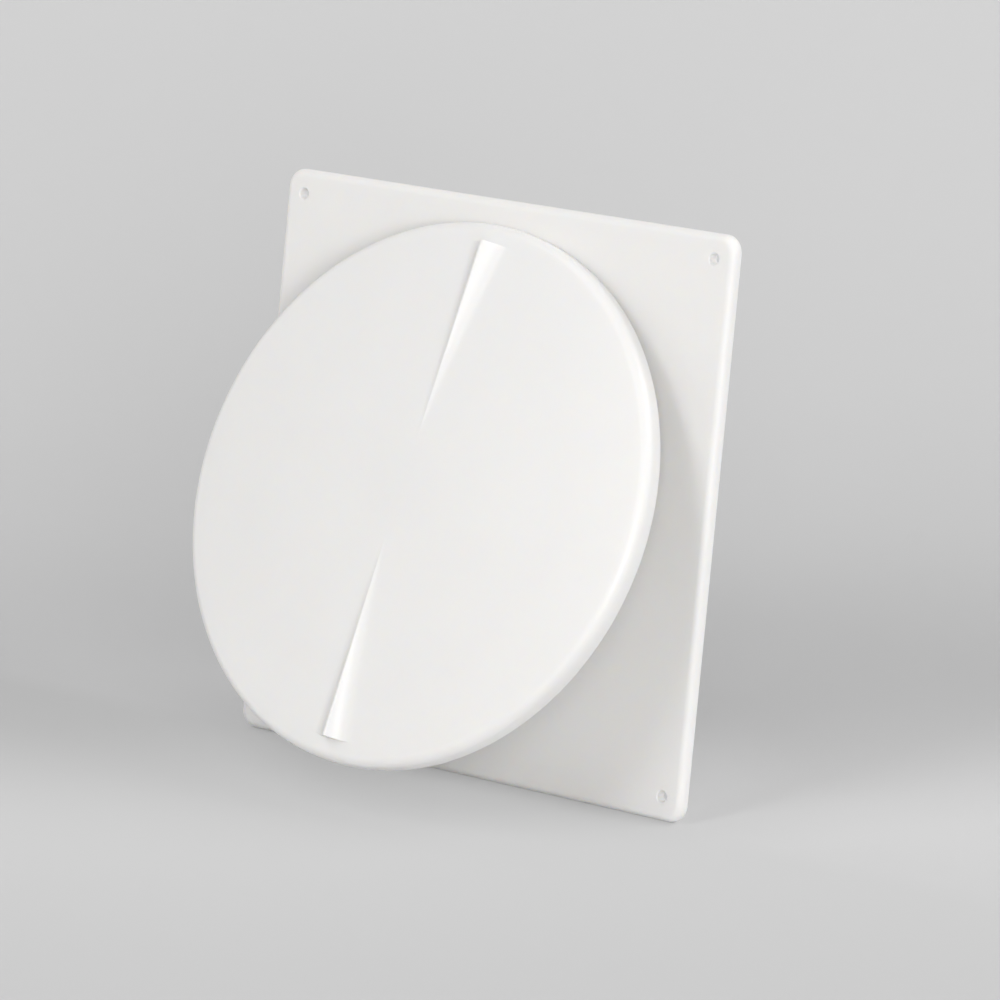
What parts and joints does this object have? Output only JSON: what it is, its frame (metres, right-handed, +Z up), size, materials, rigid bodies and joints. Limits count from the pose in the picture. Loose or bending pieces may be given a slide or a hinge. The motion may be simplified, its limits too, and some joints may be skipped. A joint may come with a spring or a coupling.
{
  "type": "wall disc valve",
  "caption": "Square wall air valve: plate with a duct collar, and a domed disc with grip ridges that screws in and out and tips on a knuckle.",
  "frame": {"origin": "middle of the four screw holes, on the plane of the wall", "axes": "+X to the right as seen from the room, +Y into the wall along the duct, +Z up"},
  "size_m": [0.165, 0.1037, 0.165],
  "materials": {
    "white_plastic": "satin white moulded plastic",
    "natural_plastic": "natural slightly waxy moulded plastic",
    "seal_foam": "soft closed-cell foam",
    "zinc_steel": "zinc-plated steel"
  },
  "bodies": {
    "housing": {"wall_plate": "white_plastic", "threaded_bush": "natural_plastic"},
    "stop": {"stop_washer": "natural_plastic"},
    "screw": {"spindle": "natural_plastic", "stop_screw": "zinc_steel"},
    "disc": {"disc": "white_plastic", "disc_seal": "seal_foam", "knuckle_pin": "zinc_steel"}
  },
  "joints": [
    {"name": "screw_travel", "type": "slide", "parent": "housing", "child": "stop", "axis": [0, 1, 0], "range_m": [0, 0.0219]},
    {"name": "disc_turn", "type": "hinge", "parent": "stop", "child": "screw", "pos_m": [0, 0, 0], "axis": [0, 1, 0], "range_deg": [0, 1314]},
    {"name": "disc_tilt", "type": "hinge", "parent": "screw", "child": "disc", "pos_m": [0, -0.031, 0], "axis": [0.9991, 0, -0.0419], "range_deg": [0, 16.8]}
  ],
  "couplings": [
    {"joint": "screw_travel", "follows": "disc_turn", "m_per_rad": 0.00095493},
    {"joint": "disc_tilt", "follows": "disc_turn", "ratio": 0.012785}
  ]
}
